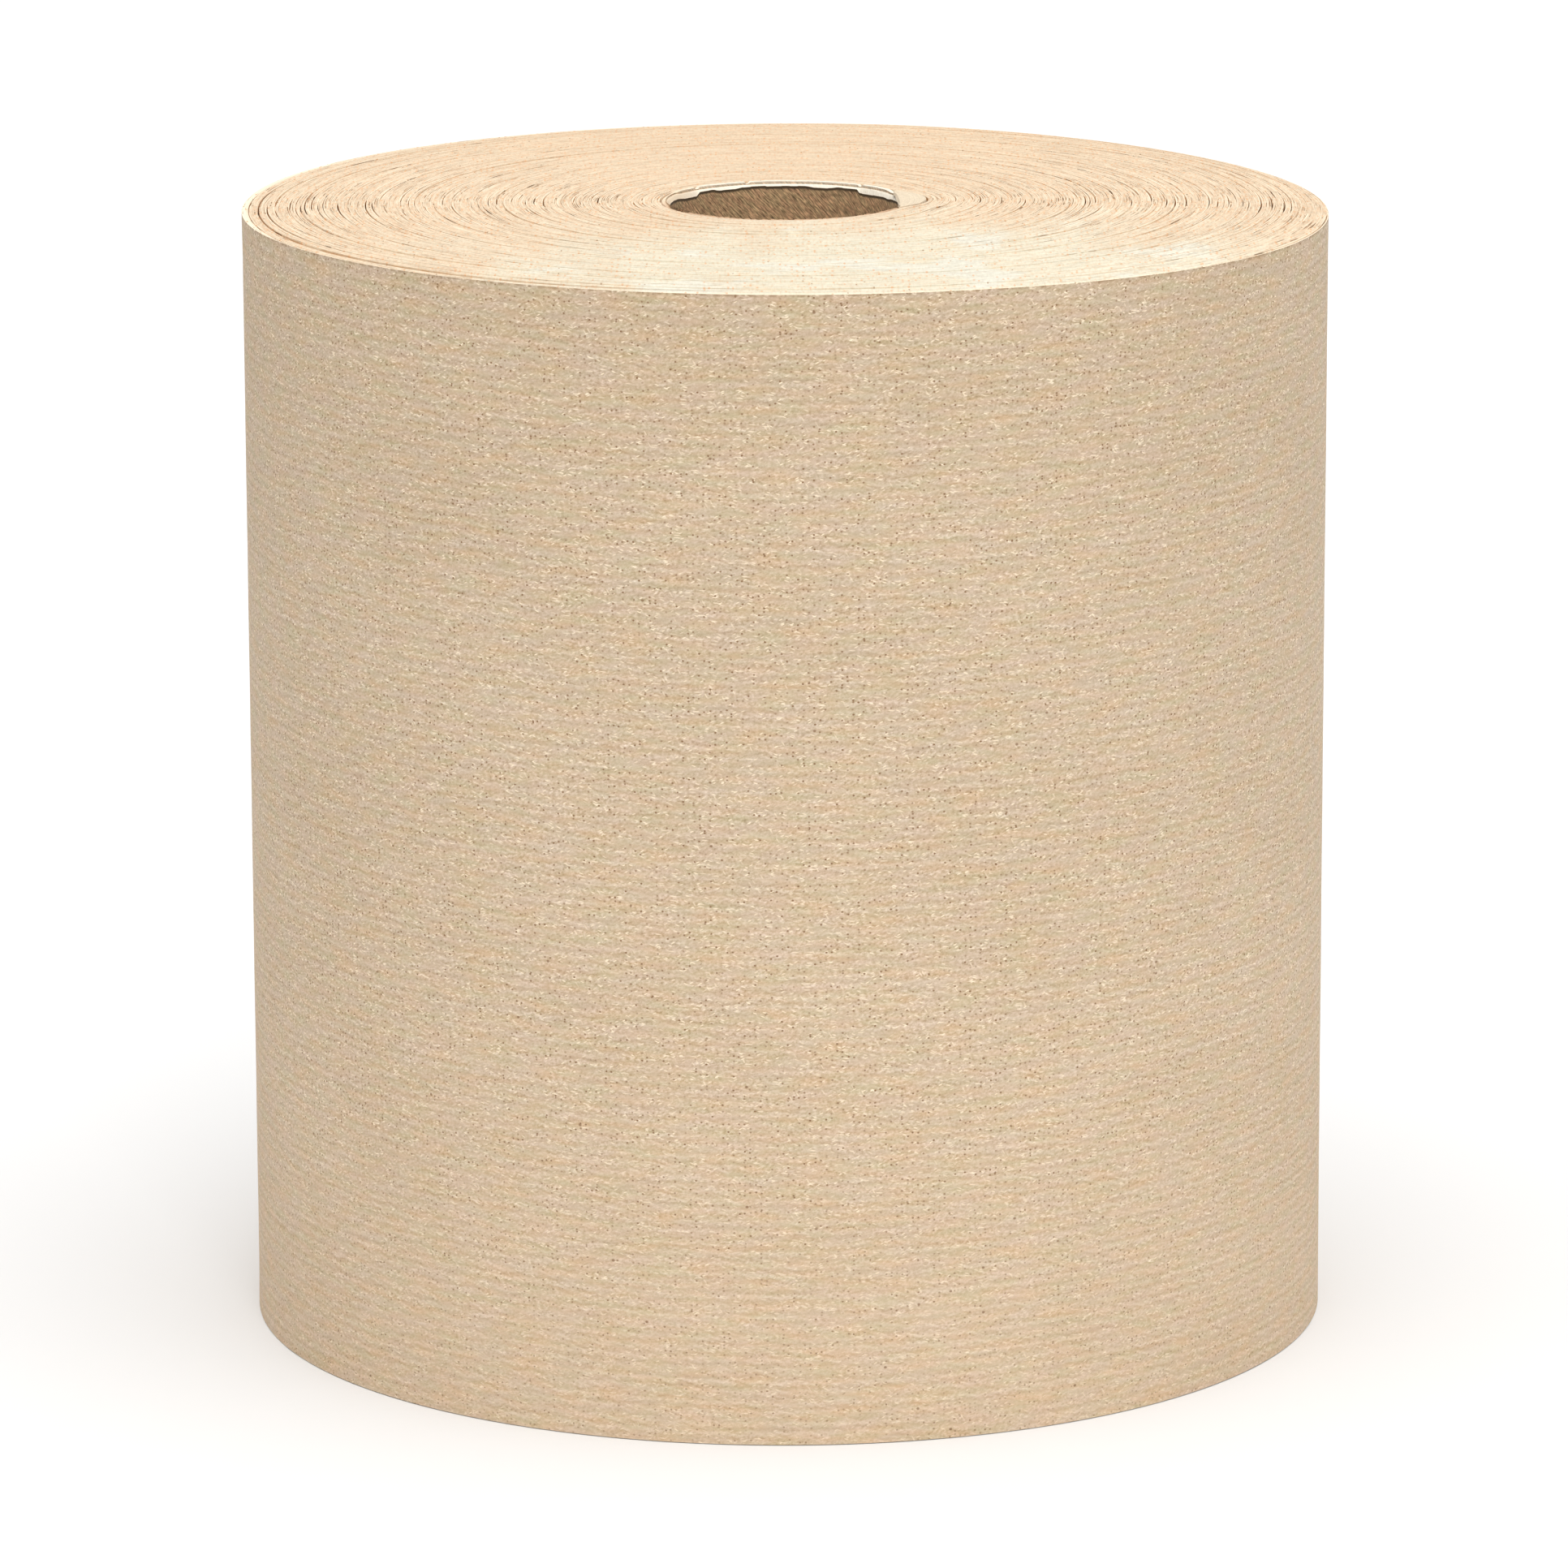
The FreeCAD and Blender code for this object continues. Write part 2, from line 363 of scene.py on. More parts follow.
def make_side(name, material):
    """The outer face of the last turn, from bevel to bevel, with the tail's thin edge."""
    heights = np.linspace(2, WEB_WIDTH - 2, SIDE_ROWS)
    heights = np.concatenate([[RIM_BEVEL], heights, [WEB_WIDTH - RIM_BEVEL]])
    turn, z = np.meshgrid(np.linspace(0, 1, COLUMNS + 1), heights)
    z[-1] += end_level(rim_radius(turn[-1]), azimuth(turn[-1]), True)
    arc = turn * FULL_TURN * RIM_RADIUS
    soft = noise_2d(arc / 38, z / 55, 21) + 0.5 * noise_2d(arc / 11, z / 16, 22)
    soft = soft + 0.35 * noise_2d(arc / 14, z / 3.1, 23)
    highest = 1.85
    edge = smooth_step(np.minimum(z, WEB_WIDTH - z) / 9)
    edge = edge * smooth_step(np.minimum(arc, arc.max() - arc) / 9)
    radius = rim_radius(turn) + 0.035 * (soft - highest) * edge
    points = polar(radius, azimuth(turn), z)
    # grain: the length round the roll, the height, and the distance below the rim.
    grain = per_point(arc, z, z[-1] - z)
    uv = per_point(in_map(turn), in_map(z / WEB_WIDTH))
    faces = grid_faces(len(heights), COLUMNS + 1, wrap=True)
    piece = mesh_object(name, points, faces, {"grain": grain}, uv, 40)
    return own(piece, "towel_roll", material)


def make_fold(name, material):
    """The folded start of the web, a lens pressed over the core's rim, under the first turns."""
    off = np.linspace(-1, 1, FOLD_COLUMNS)
    turned_by = off * FOLD_HALF_ANGLE
    angle = FOLD_AZIMUTH + turned_by
    t = (angle - TAIL_AZIMUTH) / FULL_TURN
    outer = np.maximum(WEB_BORE + fold_rise(t, WEB_BORE) - 0.03, CORE_OUTER + 0.04)
    inner = np.minimum(FOLD_FACE / np.cos(turned_by), CORE_BORE + 0.08)
    inner = inner + (CORE_OUTER + 0.02 - inner) * smooth_step((np.abs(off) - 0.6) / 0.38)
    share = np.linspace(0, 1, FOLD_LAYERS)[:, None]
    radius = inner + (outer - inner) * share
    drop = 0.1 + 0.06 * smooth_noise(share * 37, 31)
    drop = drop + 0.05 * noise_2d(off[None, :] * 6, share * 9, 32)
    drop = np.where(share == 0, 0.55, np.where(share == 1, 1.6, drop))
    points = polar(radius, angle, CORE_TOP - drop)
    # strip, as on the wound ends: the length along it, the place across it, the depth.
    strip = per_point(angle * 24, radius - CORE_BORE, drop)
    uv = per_point(off * 0.48 + 0.5, share * 0.96 + 0.02)
    faces = grid_faces(FOLD_LAYERS, FOLD_COLUMNS, flip=True)
    piece = mesh_object(name, points, faces, {"strip": strip}, uv, 30)
    return own(piece, "towel_roll", material)


# The core


def ragged(angle, rate, seed):
    """A torn edge: levels between 0 and 1 that change in steps round the tube."""
    place = angle / FULL_TURN * rate
    steps = smooth_step(((place % 1) - 0.8) / 0.2)
    table = np.random.default_rng(seed).uniform(0, 1, rate)
    cell = np.floor(place).astype(int)
    return mixed(table[cell % rate], table[(cell + 1) % rate], steps)


def window(angle, start, end, soft):
    """1 between two azimuths, in degrees, and 0 outside them."""
    degrees = np.degrees(angle)
    return smooth_step((degrees - start) / soft) * smooth_step((end - degrees) / soft)


def torn_depth(angle):
    """How far down the inner ply's edge is torn off, round the tube."""
    degrees = np.degrees(angle)
    torn = 0.18 + 0.12 * ragged(angle, 90, 43)
    torn = torn + (0.1 + 0.5 * smooth_step(degrees / 40)) * window(angle, 1, 51, 2)
    torn = torn + (0.72 - 0.28 * smooth_step((degrees - 138) / 35)) * window(angle, 138, 198, 3)
    return torn + 0.25 * window(angle, 110, 130, 6) + 0.2 * window(angle, 62, 80, 5)


def core_rows(angle):
    """The tube's outline from the foot up, over its end and down: radius, height and tone.

    The tone is 1 where the board is cut, 0 on its faces and -1 in painted shade under the tear.
    """
    ply = CORE_BORE + INNER_PLY
    fray = 0.6 * ragged(angle, 47, 41) + 0.4 * ragged(angle, 131, 42)
    torn = torn_depth(angle)
    # On the near side the lip's tone is pulled below 0: painted shade along the near rim.
    near = window(angle, 192, 350, 6)
    pressed = 0.32 * (window(angle, -5, 32, 6) + window(angle, 334, 365, 6))
    pressed = pressed + near * (0.1 + 0.16 * ragged(angle, 257, 45))
    pressed = pressed + 0.25 * window(angle, 150, 222, 14)
    notch = window(angle, 107, 110, 1) + window(angle, 49, 52, 1) + window(angle, 136, 140, 1)
    notch = 0.3 * notch
    top = CORE_TOP
    ply_top = CORE_TOP - PLY_STEP + 0.35 * window(angle, 150, 225, 10)
    foot_ply = CORE_FOOT + PLY_STEP
    inner_lip = ply + 0.06 - 0.14 * fray
    rows = [
        (CORE_OUTER, CORE_FOOT + 0.05, 0.0),
        (CORE_OUTER, top - 3, 0.0),
        (CORE_OUTER, top - 0.1 - 0.15 * fray - pressed - notch, 1.0),
        (CORE_OUTER - 0.08, top - 0.1 * fray - pressed - notch, 1.0),
        ((CORE_OUTER + ply) / 2, top - 0.06 * fray - pressed - notch, 1.0),
        (inner_lip, top - 0.04 - 0.1 * fray - pressed - notch, 0.9 - 1.5 * near),
        (ply, ply_top + 0.1, 0.35 - 1.0 * near),
        (ply - 0.02, ply_top - 0.02 - pressed * 0.5, 0.1),
        (CORE_BORE + 0.5, ply_top - 0.06 - 0.06 * fray - pressed * 0.5, 1.0),
    ]
    for share in (0.2, 0.4, 0.6, 0.8, 1.0):
        radius = CORE_BORE + 0.5 * (1 - share) - 0.12 * fray
        rows.append((radius, ply_top - 0.1 - torn * share - pressed * 0.5, 1.0))
    # Painted shade under the torn edge, with a tone of -1.
    for recess, drop, tone in ((0.02, 0.2, -1.0), (0.02, 0.5, -1.0), (0.01, 0.75, -0.1)):
        rows.append((CORE_BORE + recess, ply_top - drop - torn - pressed * 0.5, tone))
    for z in np.linspace(top - 3, foot_ply + 2, 24):
        rows.append((CORE_BORE + 0.02 * smooth_noise(angle * 9.55 + z * 0.2, 44), z, 0.0))
    rows += [
        (CORE_BORE, foot_ply + 0.3, 0.0),
        (CORE_BORE + 0.06, foot_ply, 0.9),
        (ply - 0.02, foot_ply, 0.8),
        (ply + 0.02, CORE_FOOT + 0.1, 0.9),
        (ply + 0.1, CORE_FOOT, 1.0),
        (CORE_OUTER - 0.05, CORE_FOOT, 1.0),
        (CORE_OUTER, CORE_FOOT + 0.05, 0.0),
    ]
    return [np.array([row[i] + 0 * angle for row in rows]) for i in range(3)]


def make_core(name, material):
    """The paperboard tube: two plies, the inner one a little shorter, with frayed cut edges."""
    angle = np.linspace(0, FULL_TURN, CORE_COLUMNS + 1)
    radius, z, tone = core_rows(angle)
    points = polar(radius, angle, z)
    # board: the length round the tube, the height, and the tone.
    board = per_point(angle * CORE_BORE, z, tone)
    across = np.diff(radius[:, 0], prepend=radius[0, 0])
    along = np.cumsum(np.hypot(across, np.diff(z[:, 0], prepend=z[0, 0])))
    uv = per_point(in_map(angle / FULL_TURN), in_map((along / along[-1])[:, None]))
    faces = grid_faces(len(radius), CORE_COLUMNS + 1)
    piece = mesh_object(name, points, faces, {"board": board}, uv, 35)
    return own(piece, "core_tube", material)


# Shader nodes


def start_material(name):
    material = bpy.data.materials.new(name)
    material.use_nodes = True
    tree = material.node_tree
    return material, tree, tree.nodes["Principled BSDF"]


def put(tree, socket, value):
    """Sets an input, or links it if the value is another node's output."""
    if isinstance(value, bpy.types.NodeSocket):
        tree.links.new(value, socket)
    else:
        socket.default_value = value


def attribute(tree, name):
    node = tree.nodes.new("ShaderNodeAttribute")
    node.attribute_name = name
    return node.outputs["Vector"]


def object_place(tree):
    return tree.nodes.new("ShaderNodeTexCoord").outputs["Object"]


def part_of(tree, vector, axis):
    node = tree.nodes.new("ShaderNodeSeparateXYZ")
    tree.links.new(vector, node.inputs[0])
    return node.outputs[axis]


def vector_math(tree, operation, *values):
    node = tree.nodes.new("ShaderNodeVectorMath")
    node.operation = operation
    for socket, value in zip(node.inputs, values):
        put(tree, socket, value)
    return node


def scaled(tree, vector, scale, shift=(0, 0, 0)):
    return vector_math(tree, "MULTIPLY_ADD", vector, scale, shift).outputs[0]


def turned(tree, vector, degrees):
    node = tree.nodes.new("ShaderNodeVectorRotate")
    node.rotation_type = "Z_AXIS"
    tree.links.new(vector, node.inputs["Vector"])
    node.inputs["Angle"].default_value = math.radians(degrees)
    return node.outputs[0]


def calc(tree, operation, a, b=0.0):
    node = tree.nodes.new("ShaderNodeMath")
    node.operation = operation
    put(tree, node.inputs[0], a)
    put(tree, node.inputs[1], b)
    return node.outputs[0]


def times(tree, a, b):
    return calc(tree, "MULTIPLY", a, b)


def span(tree, value, low, high, to_low=0.0, to_high=1.0, kind="SMOOTHSTEP"):
    """Maps the range from low to high onto another one, with an eased or an even rise."""
    node = tree.nodes.new("ShaderNodeMapRange")
    node.interpolation_type = kind
    put(tree, node.inputs["Value"], value)
    node.inputs["From Min"].default_value = low
    node.inputs["From Max"].default_value = high
    node.inputs["To Min"].default_value = to_low
    node.inputs["To Max"].default_value = to_high
    return node.outputs["Result"]


def ramp(tree, value, low, high, to_low, to_high):
    return span(tree, value, low, high, to_low, to_high, "LINEAR")


def varied(tree, tone, pattern, low, high):
    """Multiplies a tone by low where a noise is faint and by high where it is strong."""
    return times(tree, tone, ramp(tree, pattern, 0.3, 0.7, low, high))


def noise(tree, vector, detail=2, roughness=0.6):
    node = tree.nodes.new("ShaderNodeTexNoise")
    tree.links.new(vector, node.inputs["Vector"])
    node.inputs["Scale"].default_value = 1
    node.inputs["Detail"].default_value = detail
    node.inputs["Roughness"].default_value = roughness
    return node.outputs["Fac"]


def grain_noise(tree, vector, length, width, shift=(0, 0, 0), detail=2, roughness=0.6):
    """Noise with a grain that is so many units long and wide."""
    return noise(tree, scaled(tree, vector, (1 / length, 1 / width, 0), shift), detail, roughness)


def flecks(tree, vector, size, share):
    """Separate spots, one in a share of the cells of a cell pattern."""
    node = tree.nodes.new("ShaderNodeTexVoronoi")
    node.voronoi_dimensions = "2D"
    tree.links.new(vector, node.inputs["Vector"])
    node.inputs["Scale"].default_value = 1
    near = span(tree, node.outputs["Distance"], size * 0.5, size, 1.0, 0.0)
    chosen = calc(tree, "LESS_THAN", part_of(tree, node.outputs["Color"], 0), share)
    return times(tree, near, chosen)


def blend(tree, factor, a, b, kind="MIX"):
    node = tree.nodes.new("ShaderNodeMix")
    node.data_type = "RGBA"
    node.blend_type = kind
    put(tree, node.inputs[0], factor)
    put(tree, node.inputs[6], a)
    put(tree, node.inputs[7], b)
    return node.outputs[2]


def painted(tree, colour, where, strength, paint):
    """Lays a paint over a colour, where the mask says, at a strength."""
    return blend(tree, times(tree, where, strength), colour, paint)


def brightened(tree, colour, amount):
    """Multiplies a colour by a value that stays near 1."""
    node = vector_math(tree, "SCALE", colour)
    put(tree, node.inputs["Scale"], amount)
    return node.outputs[0]


def bump(tree, height, distance, under=None):
    node = tree.nodes.new("ShaderNodeBump")
    node.inputs["Distance"].default_value = distance * MM
    tree.links.new(height, node.inputs["Height"])
    if under is not None:
        tree.links.new(under, node.inputs["Normal"])
    return node.outputs[0]


def finish_paper(tree, shader, colour, normal, roughness, sheen):
    tree.links.new(colour, shader.inputs["Base Color"])
    tree.links.new(normal, shader.inputs["Normal"])
    shader.inputs["Roughness"].default_value = roughness
    shader.inputs["Specular IOR Level"].default_value = 0.2
    shader.inputs["Sheen Weight"].default_value = sheen
    shader.inputs["Sheen Roughness"].default_value = 0.5


# The side's material

# Waves of the crepe: counts per millimetre round the roll and up it, phase and height. The
# first is the cross ribs, 1.9 mm apart, and the rest are the marks of the drying fabric.
RIBS = (0.0, 0.522, 0.0, 1.15)
FABRIC = (
    (0.202, 0.783, 0.4, 0.45),
    (0.404, 1.043, 1.1, 0.45),
    (-0.202, 0.261, 2.3, 0.4),
    (0.0, 0.770, 1.7, 0.4),
)

# Pale fibres: their lean in degrees, length, width, share of the cells and strength.
FIBRES = (
    (-24, 1.4, 0.4, 0.12, 0.62),
    (19, 1.6, 0.42, 0.11, 0.58),
    (3, 2.4, 0.44, 0.1, 0.48),
    (58, 2.0, 0.5, 0.03, 0.38),
)


def wave(tree, vector, along, up, phase, height):
    """A cosine over the sheet, with its counts per millimetre round the roll and up it."""
    counts = (FULL_TURN * along, FULL_TURN * up, 0)
    turns = vector_math(tree, "DOT_PRODUCT", vector, counts).outputs["Value"]
    return times(tree, calc(tree, "COSINE", calc(tree, "ADD", turns, phase)), height)


def crepe_pattern(tree, grain):
    """The cross ribs of the crepe, broken up by the slanting marks of the drying fabric."""
    drift = grain_noise(tree, grain, 16, 7, (8, 2, 6), 1, 0.5)
    shift = tree.nodes.new("ShaderNodeCombineXYZ")
    tree.links.new(ramp(tree, drift, 0, 1, -0.4, 0.4), shift.inputs[1])
    place = vector_math(tree, "ADD", grain, shift.outputs[0]).outputs[0]
    total = wave(tree, place, *RIBS)
    for mark in FABRIC:
        total = calc(tree, "ADD", total, wave(tree, place, *mark))
    patches = grain_noise(tree, grain, 11, 6, (3, 9, 2))
    return times(tree, total, ramp(tree, patches, 0.3, 0.7, 0.35, 1.65))


def add_fibres(tree, grain, colour, busy):
    """Short pale fibres that lie at a few slants."""
    for degrees, length, width, share, strength in FIBRES:
        along = turned(tree, grain, degrees)
        cells = scaled(tree, along, (1 / length, 1 / width, 0), (3, degrees, 0))
        stroke = times(tree, flecks(tree, cells, 0.32, share), busy)
        colour = painted(tree, colour, stroke, strength, (0.94, 0.8, 0.6, 1))
    return colour


def add_specks(tree, grain, colour, busy):
    """Dark dots, shives and specks, and the shade right under the rim."""
    dot = flecks(tree, scaled(tree, grain, (1 / 0.95, 1 / 0.8, 0), (5, 9, 0)), 0.265, 0.21)
    dot = times(tree, dot, busy)
    colour = painted(tree, colour, dot, 0.78, (0.25, 0.145, 0.075, 1))
    cells = scaled(tree, turned(tree, grain, -41), (1 / 8, 1 / 2.6, 0))
    shive = flecks(tree, cells, 0.055, 0.042)
    colour = painted(tree, colour, shive, 0.5, (0.28, 0.18, 0.1, 1))
    under = grain_noise(tree, grain, 1.4, 4, (2, 7, 7))
    below_rim = span(tree, part_of(tree, grain, 2), 0.6, 0.15)
    under = times(tree, below_rim, span(tree, under, 0.4, 0.6))
    colour = painted(tree, colour, under, 0.6, (0.3, 0.19, 0.1, 1))
    speck = flecks(tree, scaled(tree, grain, (1 / 6, 1 / 5, 0), (6, 1, 0)), 0.06, 0.042)
    return painted(tree, colour, speck, 0.75, (0.22, 0.12, 0.06, 1))


def make_side_paper():
    """Brown crepe paper: cross ribs, a fine mottle, short pale fibres and dark specks."""
    material, tree, shader = start_material("crepe_paper")
    grain = attribute(tree, "grain")

    ribs = crepe_pattern(tree, grain)
    clouds = grain_noise(tree, grain, 45, 30, roughness=0.5)
    mottle = grain_noise(tree, grain, 14, 3, (9, 3, 1))
    weave = grain_noise(tree, turned(tree, grain, 3), 3.6, 0.7, (5, 5, 8), 1, 0.5)
    fine = grain_noise(tree, turned(tree, grain, -13), 0.7, 0.42, (1, 5, 3), 2, 0.65)
    busy = grain_noise(tree, turned(tree, grain, 4), 4.5, 1.3, (7, 1, 3))
    busy = ramp(tree, busy, 0.35, 0.65, 0.5, 1.45)
    busy = times(tree, busy, span(tree, part_of(tree, grain, 1), 0, 80, 0.65, 1.0))
    tint = grain_noise(tree, turned(tree, grain, 5), 8, 1.9, (1, 8, 12), 2, 0.5)
    yellow = grain_noise(tree, turned(tree, grain, -7), 9, 2.4, (11, 8, 2), 2, 0.5)

    # Painted light: the side is lighter low down and darker toward the top.
    tone = ramp(tree, part_of(tree, grain, 1), 20, 190, 1.024, 0.927)
    tone = varied(tree, tone, clouds, 0.98, 1.02)
    tone = varied(tree, tone, mottle, 0.98, 1.02)
    tone = varied(tree, tone, weave, 0.96, 1.04)
    grit = times(tree, ramp(tree, fine, 0.25, 0.75, -0.25, 0.25), busy)
    tone = times(tree, tone, calc(tree, "ADD", grit, 1))
    tone = times(tree, tone, calc(tree, "ADD", times(tree, ribs, 0.037), 1))

    green_brown, red_brown = (0.56, 0.467, 0.309, 1), (0.62, 0.452, 0.294, 1)
    colour = blend(tree, ramp(tree, tint, 0.35, 0.65, 0, 1), green_brown, red_brown)
    grey_brown = (0.597, 0.467, 0.368, 1)
    colour = blend(tree, ramp(tree, yellow, 0.35, 0.65, 0.05, 0.65), colour, grey_brown)
    colour = brightened(tree, colour, tone)
    # Tinted warmer and a little darker toward the foot.
    low = ramp(tree, part_of(tree, grain, 1), 130, 10, 0, 1)
    colour = blend(tree, low, colour, (1.005, 0.98, 0.945, 1), "MULTIPLY")
    even = tree.nodes.new("ShaderNodeHueSaturation")
    put(tree, even.inputs["Saturation"], ramp(tree, tone, 0.6, 1.4, 1.3, 0.7))
    tree.links.new(colour, even.inputs["Color"])

    colour = add_fibres(tree, grain, even.outputs[0], busy)
    colour = add_specks(tree, grain, colour, busy)
    normal = bump(tree, ribs, 0.012)
    normal = bump(tree, fine, 0.06, under=normal)
    finish_paper(tree, shader, colour, normal, 0.9, 0.05)
    return material


# The ends' materials


def edge_colour(tree, place, cloud, grainy, tint):
    """Brown with orange streaks, and a painted highlight: a paler front zone with whiter patches.
    """
    # Painted highlight: paler toward the front, in a zone broken up by the cloud noise.
    offset = scaled(tree, place, (10.5, 17, 0), (-0.2, 1.25, 0))
    reach = vector_math(tree, "LENGTH", offset).outputs["Value"]
    reach = calc(tree, "ADD", reach, ramp(tree, cloud, 0.2, 0.8, 0.35, -0.35))
    front = span(tree, reach, 1.15, 0.35)
    colour = blend(tree, front, (0.74, 0.59, 0.418, 1), (0.75, 0.695, 0.55, 1))
    orange = blend(tree, front, (0.765, 0.512, 0.325, 1), (0.78, 0.62, 0.43, 1))
    colour = blend(tree, span(tree, tint, 0.45, 0.68, 0, 0.7), colour, orange)
    colour = blend(tree, span(tree, grainy, 0.48, 0.34, 0, 0.7), colour, orange)
    # Whiter patches in the front zone, also painted highlight.
    highlight_patches = noise(tree, scaled(tree, place, (48, 48, 0), (4, 9, 0)))
    highlight_patches = times(tree, span(tree, highlight_patches, 0.54, 0.64), span(tree, front, 0.5, 0.9))
    return painted(tree, colour, highlight_patches, 0.6, (0.77, 0.755, 0.66, 1))


def paint_lip_highlights(tree, place, edge, grainy, colour):
    """Painted highlights on lips beside open gaps, in a frayed line at the rim and wide at the
    left.
    """
    # Painted highlight on the lips beside open gaps.
    lip = span(tree, part_of(tree, edge, 0), 0.55, 1.0)
    lip = times(tree, lip, part_of(tree, edge, 1))
    colour = painted(tree, colour, lip, 0.85, (0.97, 0.83, 0.63, 1))
    # Painted highlight along the rim, broken up as if frayed.
    rim = span(tree, part_of(tree, edge, 2), 0.45, 0.1)
    frayed = span(tree, grainy, 0.42, 0.58, 0.25, 1.0)
    colour = painted(tree, colour, rim, frayed, (0.95, 0.8, 0.6, 1))
    # A wider painted highlight along the rim at the left.
    rim = span(tree, part_of(tree, edge, 2), 1.5, 0.6)
    rim = times(tree, rim, span(tree, part_of(tree, place, 0), 0.03, -0.02, 0, 0.85))
    return blend(tree, rim, colour, (0.98, 0.86, 0.67, 1))


def paint_gap_shade(tree, depth, breaks, colour):
    """Painted light and shade in open gaps: warm as if lit through the paper, dark toward the
    bottom.
    """
    whole = span(tree, breaks, 0.4, 0.52, 0.25, 1.0)
    # Painted light: warm a little way down the gaps, as if lit through the paper.
    colour = painted(tree, colour, span(tree, depth, 0.04, 0.25), whole, (0.64, 0.38, 0.18, 1))
    # Painted shade toward the gaps' bottoms.
    return painted(tree, colour, span(tree, depth, 0.35, 0.8), whole, (0.2, 0.105, 0.045, 1))


def make_edge_paper():
    """The slit edges of the turns: fine layers that run along the ribbon, and painted shade in the
    gaps.
    """
    material, tree, shader = start_material("edge_paper")
    strip = attribute(tree, "strip")
    edge = attribute(tree, "edge")
    depth = part_of(tree, strip, 2)

    layers = grain_noise(tree, strip, 11, 0.2)
    bundles = grain_noise(tree, strip, 40, 0.9, (4, 4, 2), 1, 0.5)
    fluff = grain_noise(tree, strip, 2.6, 0.36, (7, 2, 3))
    tint = grain_noise(tree, strip, 5, 0.5, (2, 6, 1))
    seams = grain_noise(tree, strip, 14, 0.21, (9, 6, 4), 1, 0.5)
    breaks = grain_noise(tree, strip, 5, 1.5, (5, 5, 5))
    place = object_place(tree)
    cloud = noise(tree, scaled(tree, place, (55, 25, 0)))
    outward = vector_math(tree, "NORMALIZE")
    tree.links.new(scaled(tree, place, (1, 1, 0)), outward.inputs[0])
    sideways = calc(tree, "ABSOLUTE", part_of(tree, outward.outputs[0], 0))
    sideways = ramp(tree, sideways, 0.25, 1.0, 0.05, 1.0)

    tone = ramp(tree, layers, 0.3, 0.7, 0.9, 1.08)
    tone = varied(tree, tone, bundles, 0.96, 1.04)
    tone = varied(tree, tone, fluff, 0.86, 1.13)
    tone = varied(tree, tone, cloud, 0.98, 1.02)
    grainy = noise(tree, scaled(tree, place, (1000 / 0.5, 1000 / 2.6, 0), (4, 8, 0)))
    tone = varied(tree, tone, grainy, 0.93, 1.06)

    colour = edge_colour(tree, place, cloud, grainy, tint)
    colour = brightened(tree, colour, tone)
    colour = paint_lip_highlights(tree, place, edge, grainy, colour)
    colour = paint_gap_shade(tree, depth, breaks, colour)

    # Closed gaps: painted shade and highlights, the most at the left and right, as the open ones.
    gaps = times(tree, span(tree, seams, 0.62, 0.64), span(tree, breaks, 0.46, 0.5))
    gaps = times(tree, gaps, sideways)
    colour = painted(tree, colour, gaps, 0.9, (0.22, 0.12, 0.055, 1))
    # Pale strokes, painted highlights, the most at the left and right.
    pale = times(tree, span(tree, seams, 0.42, 0.37), sideways)
    colour = painted(tree, colour, pale, 0.5, (0.97, 0.85, 0.66, 1))

    cells = scaled(tree, place, (1000 / 1.0, 1000 / 3.2, 0), (7, 1, 0))
    colour = painted(tree, colour, flecks(tree, cells, 0.265, 0.3), 0.6, (0.74, 0.4, 0.19, 1))
    cells = scaled(tree, place, (1000 / 1.5, 1000 / 4.6, 0), (2, 3, 0))
    colour = painted(tree, colour, flecks(tree, cells, 0.125, 0.095), 0.7, (0.34, 0.18, 0.08, 1))

    normal = bump(tree, layers, 0.05)
    normal = bump(tree, fluff, 0.03, under=normal)
    finish_paper(tree, shader, colour, normal, 0.9, 0.0)
    return material


def make_fold_paper():
    """The start of the web, pressed smooth and a little greyer than the turns round it."""
    material, tree, shader = start_material("pressed_paper")
    strip = attribute(tree, "strip")
    layers = grain_noise(tree, strip, 12, 0.3)
    grain = grain_noise(tree, strip, 0.8, 0.5, (2, 2, 2))
    tone = varied(tree, ramp(tree, layers, 0.3, 0.7, 0.88, 1.08), grain, 0.9, 1.08)
    colour = brightened(tree, (0.76, 0.63, 0.46), tone)
    # Painted shade toward the fold's deepest, outer edge, where it goes under the first turns.
    deep = span(tree, part_of(tree, strip, 2), 0.5, 1.4)
    colour = blend(tree, deep, colour, (0.2, 0.12, 0.06, 1))
    finish_paper(tree, shader, colour, bump(tree, layers, 0.05), 0.8, 0.05)
    return material


